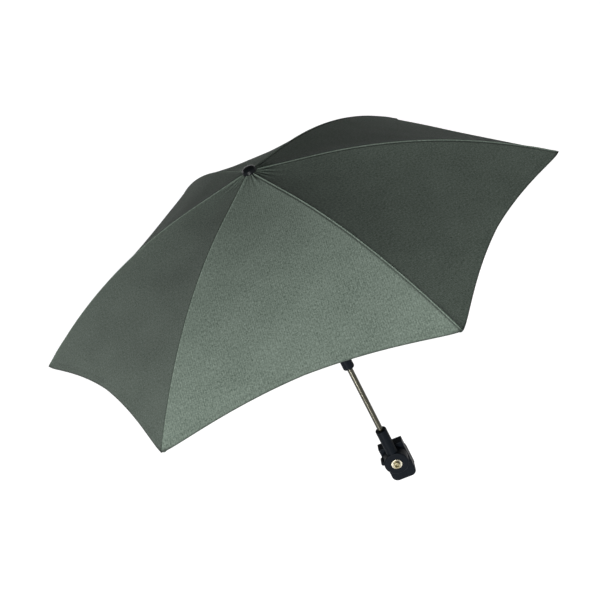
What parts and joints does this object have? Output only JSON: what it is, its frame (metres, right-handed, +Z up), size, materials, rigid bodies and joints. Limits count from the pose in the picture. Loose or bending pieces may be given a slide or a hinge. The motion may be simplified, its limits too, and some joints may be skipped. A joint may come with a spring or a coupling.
{
  "type": "pram parasol",
  "caption": "Folding pram parasol: ribbed cloth canopy with scalloped hem on a slim jointed shaft, held by a swivelling snap clip for a pram tube.",
  "frame": {"origin": "middle of the clip bore, on the axis of the pram tube", "axes": "+Z up the shaft and along the pram tube, -Y to the front of the clip where the swivel bolt shows, X across the clip"},
  "size_m": [0.7176, 0.6218, 0.5372],
  "materials": {
    "canopy_cloth": "matt woven, heathered grey green",
    "black_plastic": "fine satin moulded",
    "gloss_black": "polished",
    "black_rubber": "matt",
    "grey_nylon": "plain",
    "zinc_steel": "zinc plated",
    "satin_tube": "satin, warm silver",
    "dark_steel": "black enamel"
  },
  "bodies": {
    "clip": {"clip_body": "black_plastic", "clip_liner": "black_rubber", "pivot_bolt": "zinc_steel", "bolt_washer": "zinc_steel", "bolt_nut": "zinc_steel", "friction_washer": "grey_nylon"},
    "swivel": {"swivel_socket": "black_plastic", "lower_shaft": "satin_tube", "lower_knuckle": "black_plastic", "tilt_pin": "zinc_steel"},
    "head": {"upper_knuckle": "black_plastic", "tilt_spring": "zinc_steel", "upper_shaft": "satin_tube", "crown": "black_plastic", "rib_pins": "zinc_steel", "crown_washer": "grey_nylon", "cap": "gloss_black"},
    "tilt_button": {"tilt_button": "black_plastic"},
    "runner": {"runner": "black_plastic", "stretcher_pins": "zinc_steel"},
    "runner_button": {"runner_button": "black_plastic"},
    "rib_1": {"rib_1": "dark_steel"},
    "stretcher_1": {"stretcher_1": "dark_steel"},
    "panel_1_left": {"panel_1_left": "canopy_cloth"},
    "crease_1_left": {"crease_1_left": "canopy_cloth"},
    "panel_1_right": {"panel_1_right": "canopy_cloth"},
    "crease_1_right": {"crease_1_right": "canopy_cloth"},
    "rib_2": {"rib_2": "dark_steel"},
    "stretcher_2": {"stretcher_2": "dark_steel"},
    "panel_2_left": {"panel_2_left": "canopy_cloth"},
    "crease_2_left": {"crease_2_left": "canopy_cloth"},
    "panel_2_right": {"panel_2_right": "canopy_cloth"},
    "crease_2_right": {"crease_2_right": "canopy_cloth"},
    "rib_3": {"rib_3": "dark_steel"},
    "stretcher_3": {"stretcher_3": "dark_steel"},
    "panel_3_left": {"panel_3_left": "canopy_cloth"},
    "crease_3_left": {"crease_3_left": "canopy_cloth"},
    "panel_3_right": {"panel_3_right": "canopy_cloth"},
    "crease_3_right": {"crease_3_right": "canopy_cloth"},
    "rib_4": {"rib_4": "dark_steel"},
    "stretcher_4": {"stretcher_4": "dark_steel"},
    "panel_4_left": {"panel_4_left": "canopy_cloth"},
    "crease_4_left": {"crease_4_left": "canopy_cloth"},
    "panel_4_right": {"panel_4_right": "canopy_cloth"},
    "crease_4_right": {"crease_4_right": "canopy_cloth"},
    "rib_5": {"rib_5": "dark_steel"},
    "stretcher_5": {"stretcher_5": "dark_steel"},
    "panel_5_left": {"panel_5_left": "canopy_cloth"},
    "crease_5_left": {"crease_5_left": "canopy_cloth"},
    "panel_5_right": {"panel_5_right": "canopy_cloth"},
    "crease_5_right": {"crease_5_right": "canopy_cloth"},
    "rib_6": {"rib_6": "dark_steel"},
    "stretcher_6": {"stretcher_6": "dark_steel"},
    "panel_6_left": {"panel_6_left": "canopy_cloth"},
    "crease_6_left": {"crease_6_left": "canopy_cloth"},
    "panel_6_right": {"panel_6_right": "canopy_cloth"},
    "crease_6_right": {"crease_6_right": "canopy_cloth"}
  },
  "joints": [
    {"name": "swivel_turn", "type": "hinge", "parent": "clip", "child": "swivel", "pos_m": [0, -0.0379, 0.026], "axis": [0, 1, 0], "range_deg": [-75, 75]},
    {"name": "tilt_turn", "type": "hinge", "parent": "swivel", "child": "head", "pos_m": [0, -0.0379, 0.232], "axis": [1, 0, 0], "range_deg": [-45, 45]},
    {"name": "tilt_button_press", "type": "slide", "parent": "head", "child": "tilt_button", "axis": [0, 1, 0], "range_m": [0, 0.002], "stiffness_N_per_m": 800, "deforming": ["tilt_spring"]},
    {"name": "runner_slide", "type": "slide", "parent": "head", "child": "runner", "axis": [0, 0, -1], "range_m": [0, 0.1114], "deforming": ["panel_1_left", "crease_1_left", "panel_1_right", "crease_1_right", "panel_2_left", "crease_2_left", "panel_2_right", "crease_2_right", "panel_3_left", "crease_3_left", "panel_3_right", "crease_3_right", "panel_4_left", "crease_4_left", "panel_4_right", "crease_4_right", "panel_5_left", "crease_5_left", "panel_5_right", "crease_5_right", "panel_6_left", "crease_6_left", "panel_6_right", "crease_6_right"]},
    {"name": "runner_button_press", "type": "slide", "parent": "runner", "child": "runner_button", "axis": [0, 1, 0], "range_m": [0, 0.0014], "stiffness_N_per_m": 800},
    {"name": "rib_1_hinge", "type": "hinge", "parent": "head", "child": "rib_1", "pos_m": [0.009, -0.0379, 0.507], "axis": [0, 1, 0], "range_deg": [0, 62.01]},
    {"name": "stretcher_1_hinge", "type": "hinge", "parent": "runner", "child": "stretcher_1", "pos_m": [0.012, -0.0353, 0.42271], "axis": [0, -1, 0], "range_deg": [0, 37.72]},
    {"name": "fold_1_left", "type": "hinge", "parent": "rib_1", "child": "panel_1_left", "pos_m": [0.009, -0.0327, 0.507], "axis": [0.9362, -0.0139, -0.3511], "range_deg": [0, 84.69]},
    {"name": "crease_1_left_fold", "type": "hinge", "parent": "panel_1_left", "child": "crease_1_left", "pos_m": [0.009, -0.0327, 0.507], "axis": [-0.8707, -0.3139, 0.3785], "range_deg": [0, 101.02]},
    {"name": "fold_1_right", "type": "hinge", "parent": "rib_1", "child": "panel_1_right", "pos_m": [0.009, -0.0431, 0.507], "axis": [-0.9362, -0.0139, 0.3511], "range_deg": [0, 84.69]},
    {"name": "crease_1_right_fold", "type": "hinge", "parent": "panel_1_right", "child": "crease_1_right", "pos_m": [0.009, -0.0431, 0.507], "axis": [0.8707, -0.3139, -0.3785], "range_deg": [0, 101.02]},
    {"name": "rib_2_hinge", "type": "hinge", "parent": "head", "child": "rib_2", "pos_m": [0.0045, -0.03011, 0.507], "axis": [-0.866, 0.5, 0], "range_deg": [0, 62.01]},
    {"name": "stretcher_2_hinge", "type": "hinge", "parent": "runner", "child": "stretcher_2", "pos_m": [0.00375, -0.02621, 0.42271], "axis": [0.866, -0.5, 0], "range_deg": [0, 37.72]},
    {"name": "fold_2_left", "type": "hinge", "parent": "rib_2", "child": "panel_2_left", "pos_m": [0, -0.02751, 0.507], "axis": [0.4802, 0.8038, -0.3511], "range_deg": [0, 84.69]},
    {"name": "crease_2_left_fold", "type": "hinge", "parent": "panel_2_left", "child": "crease_2_left", "pos_m": [0, -0.02751, 0.507], "axis": [-0.1635, -0.911, 0.3785], "range_deg": [0, 101.02]},
    {"name": "fold_2_right", "type": "hinge", "parent": "rib_2", "child": "panel_2_right", "pos_m": [0.009, -0.0327, 0.507], "axis": [-0.4561, -0.8177, 0.3511], "range_deg": [0, 84.69]},
    {"name": "crease_2_right_fold", "type": "hinge", "parent": "panel_2_right", "child": "crease_2_right", "pos_m": [0.009, -0.0327, 0.507], "axis": [0.7072, 0.5971, -0.3785], "range_deg": [0, 101.02]},
    {"name": "rib_3_hinge", "type": "hinge", "parent": "head", "child": "rib_3", "pos_m": [-0.0045, -0.03011, 0.507], "axis": [-0.866, -0.5, 0], "range_deg": [0, 62.01]},
    {"name": "stretcher_3_hinge", "type": "hinge", "parent": "runner", "child": "stretcher_3", "pos_m": [-0.00825, -0.02881, 0.42271], "axis": [0.866, 0.5, 0], "range_deg": [0, 37.72]},
    {"name": "fold_3_left", "type": "hinge", "parent": "rib_3", "child": "panel_3_left", "pos_m": [-0.009, -0.0327, 0.507], "axis": [-0.4561, 0.8177, -0.3511], "range_deg": [0, 84.69]},
    {"name": "crease_3_left_fold", "type": "hinge", "parent": "panel_3_left", "child": "crease_3_left", "pos_m": [-0.009, -0.0327, 0.507], "axis": [0.7072, -0.5971, 0.3785], "range_deg": [0, 101.02]},
    {"name": "fold_3_right", "type": "hinge", "parent": "rib_3", "child": "panel_3_right", "pos_m": [0, -0.02751, 0.507], "axis": [0.4802, -0.8038, 0.3511], "range_deg": [0, 84.69]},
    {"name": "crease_3_right_fold", "type": "hinge", "parent": "panel_3_right", "child": "crease_3_right", "pos_m": [0, -0.02751, 0.507], "axis": [-0.1635, 0.911, -0.3785], "range_deg": [0, 101.02]},
    {"name": "rib_4_hinge", "type": "hinge", "parent": "head", "child": "rib_4", "pos_m": [-0.009, -0.0379, 0.507], "axis": [0, -1, 0], "range_deg": [0, 62.01]},
    {"name": "stretcher_4_hinge", "type": "hinge", "parent": "runner", "child": "stretcher_4", "pos_m": [-0.012, -0.0405, 0.42271], "axis": [0, 1, 0], "range_deg": [0, 37.72]},
    {"name": "fold_4_left", "type": "hinge", "parent": "rib_4", "child": "panel_4_left", "pos_m": [-0.009, -0.0431, 0.507], "axis": [-0.9362, 0.0139, -0.3511], "range_deg": [0, 84.69]},
    {"name": "crease_4_left_fold", "type": "hinge", "parent": "panel_4_left", "child": "crease_4_left", "pos_m": [-0.009, -0.0431, 0.507], "axis": [0.8707, 0.3139, 0.3785], "range_deg": [0, 101.02]},
    {"name": "fold_4_right", "type": "hinge", "parent": "rib_4", "child": "panel_4_right", "pos_m": [-0.009, -0.0327, 0.507], "axis": [0.9362, 0.0139, 0.3511], "range_deg": [0, 84.69]},
    {"name": "crease_4_right_fold", "type": "hinge", "parent": "panel_4_right", "child": "crease_4_right", "pos_m": [-0.009, -0.0327, 0.507], "axis": [-0.8707, 0.3139, -0.3785], "range_deg": [0, 101.02]},
    {"name": "rib_5_hinge", "type": "hinge", "parent": "head", "child": "rib_5", "pos_m": [-0.0045, -0.04569, 0.507], "axis": [0.866, -0.5, 0], "range_deg": [0, 62.01]},
    {"name": "stretcher_5_hinge", "type": "hinge", "parent": "runner", "child": "stretcher_5", "pos_m": [-0.00375, -0.04959, 0.42271], "axis": [-0.866, 0.5, 0], "range_deg": [0, 37.72]},
    {"name": "fold_5_left", "type": "hinge", "parent": "rib_5", "child": "panel_5_left", "pos_m": [0, -0.04829, 0.507], "axis": [-0.4802, -0.8038, -0.3511], "range_deg": [0, 84.69]},
    {"name": "crease_5_left_fold", "type": "hinge", "parent": "panel_5_left", "child": "crease_5_left", "pos_m": [0, -0.04829, 0.507], "axis": [0.1635, 0.911, 0.3785], "range_deg": [0, 101.02]},
    {"name": "fold_5_right", "type": "hinge", "parent": "rib_5", "child": "panel_5_right", "pos_m": [-0.009, -0.0431, 0.507], "axis": [0.4561, 0.8177, 0.3511], "range_deg": [0, 84.69]},
    {"name": "crease_5_right_fold", "type": "hinge", "parent": "panel_5_right", "child": "crease_5_right", "pos_m": [-0.009, -0.0431, 0.507], "axis": [-0.7072, -0.5971, -0.3785], "range_deg": [0, 101.02]},
    {"name": "rib_6_hinge", "type": "hinge", "parent": "head", "child": "rib_6", "pos_m": [0.0045, -0.04569, 0.507], "axis": [0.866, 0.5, 0], "range_deg": [0, 62.01]},
    {"name": "stretcher_6_hinge", "type": "hinge", "parent": "runner", "child": "stretcher_6", "pos_m": [0.00825, -0.04699, 0.42271], "axis": [-0.866, -0.5, 0], "range_deg": [0, 37.72]},
    {"name": "fold_6_left", "type": "hinge", "parent": "rib_6", "child": "panel_6_left", "pos_m": [0.009, -0.0431, 0.507], "axis": [0.4561, -0.8177, -0.3511], "range_deg": [0, 84.69]},
    {"name": "crease_6_left_fold", "type": "hinge", "parent": "panel_6_left", "child": "crease_6_left", "pos_m": [0.009, -0.0431, 0.507], "axis": [-0.7072, 0.5971, 0.3785], "range_deg": [0, 101.02]},
    {"name": "fold_6_right", "type": "hinge", "parent": "rib_6", "child": "panel_6_right", "pos_m": [0, -0.04829, 0.507], "axis": [-0.4802, 0.8038, 0.3511], "range_deg": [0, 84.69]},
    {"name": "crease_6_right_fold", "type": "hinge", "parent": "panel_6_right", "child": "crease_6_right", "pos_m": [0, -0.04829, 0.507], "axis": [0.1635, -0.911, -0.3785], "range_deg": [0, 101.02]}
  ],
  "couplings": [
    {"joint": "rib_1_hinge", "follows": "runner_slide", "rad_per_m": 9.7137},
    {"joint": "stretcher_1_hinge", "follows": "runner_slide", "rad_per_m": 5.9089},
    {"joint": "fold_1_left", "follows": "runner_slide", "rad_per_m": 13.267},
    {"joint": "crease_1_left_fold", "follows": "runner_slide", "rad_per_m": 15.826},
    {"joint": "fold_1_right", "follows": "runner_slide", "rad_per_m": 13.267},
    {"joint": "crease_1_right_fold", "follows": "runner_slide", "rad_per_m": 15.826},
    {"joint": "rib_2_hinge", "follows": "runner_slide", "rad_per_m": 9.7137},
    {"joint": "stretcher_2_hinge", "follows": "runner_slide", "rad_per_m": 5.9089},
    {"joint": "fold_2_left", "follows": "runner_slide", "rad_per_m": 13.267},
    {"joint": "crease_2_left_fold", "follows": "runner_slide", "rad_per_m": 15.826},
    {"joint": "fold_2_right", "follows": "runner_slide", "rad_per_m": 13.267},
    {"joint": "crease_2_right_fold", "follows": "runner_slide", "rad_per_m": 15.826},
    {"joint": "rib_3_hinge", "follows": "runner_slide", "rad_per_m": 9.7137},
    {"joint": "stretcher_3_hinge", "follows": "runner_slide", "rad_per_m": 5.9089},
    {"joint": "fold_3_left", "follows": "runner_slide", "rad_per_m": 13.267},
    {"joint": "crease_3_left_fold", "follows": "runner_slide", "rad_per_m": 15.826},
    {"joint": "fold_3_right", "follows": "runner_slide", "rad_per_m": 13.267},
    {"joint": "crease_3_right_fold", "follows": "runner_slide", "rad_per_m": 15.826},
    {"joint": "rib_4_hinge", "follows": "runner_slide", "rad_per_m": 9.7137},
    {"joint": "stretcher_4_hinge", "follows": "runner_slide", "rad_per_m": 5.9089},
    {"joint": "fold_4_left", "follows": "runner_slide", "rad_per_m": 13.267},
    {"joint": "crease_4_left_fold", "follows": "runner_slide", "rad_per_m": 15.826},
    {"joint": "fold_4_right", "follows": "runner_slide", "rad_per_m": 13.267},
    {"joint": "crease_4_right_fold", "follows": "runner_slide", "rad_per_m": 15.826},
    {"joint": "rib_5_hinge", "follows": "runner_slide", "rad_per_m": 9.7137},
    {"joint": "stretcher_5_hinge", "follows": "runner_slide", "rad_per_m": 5.9089},
    {"joint": "fold_5_left", "follows": "runner_slide", "rad_per_m": 13.267},
    {"joint": "crease_5_left_fold", "follows": "runner_slide", "rad_per_m": 15.826},
    {"joint": "fold_5_right", "follows": "runner_slide", "rad_per_m": 13.267},
    {"joint": "crease_5_right_fold", "follows": "runner_slide", "rad_per_m": 15.826},
    {"joint": "rib_6_hinge", "follows": "runner_slide", "rad_per_m": 9.7137},
    {"joint": "stretcher_6_hinge", "follows": "runner_slide", "rad_per_m": 5.9089},
    {"joint": "fold_6_left", "follows": "runner_slide", "rad_per_m": 13.267},
    {"joint": "crease_6_left_fold", "follows": "runner_slide", "rad_per_m": 15.826},
    {"joint": "fold_6_right", "follows": "runner_slide", "rad_per_m": 13.267},
    {"joint": "crease_6_right_fold", "follows": "runner_slide", "rad_per_m": 15.826}
  ]
}
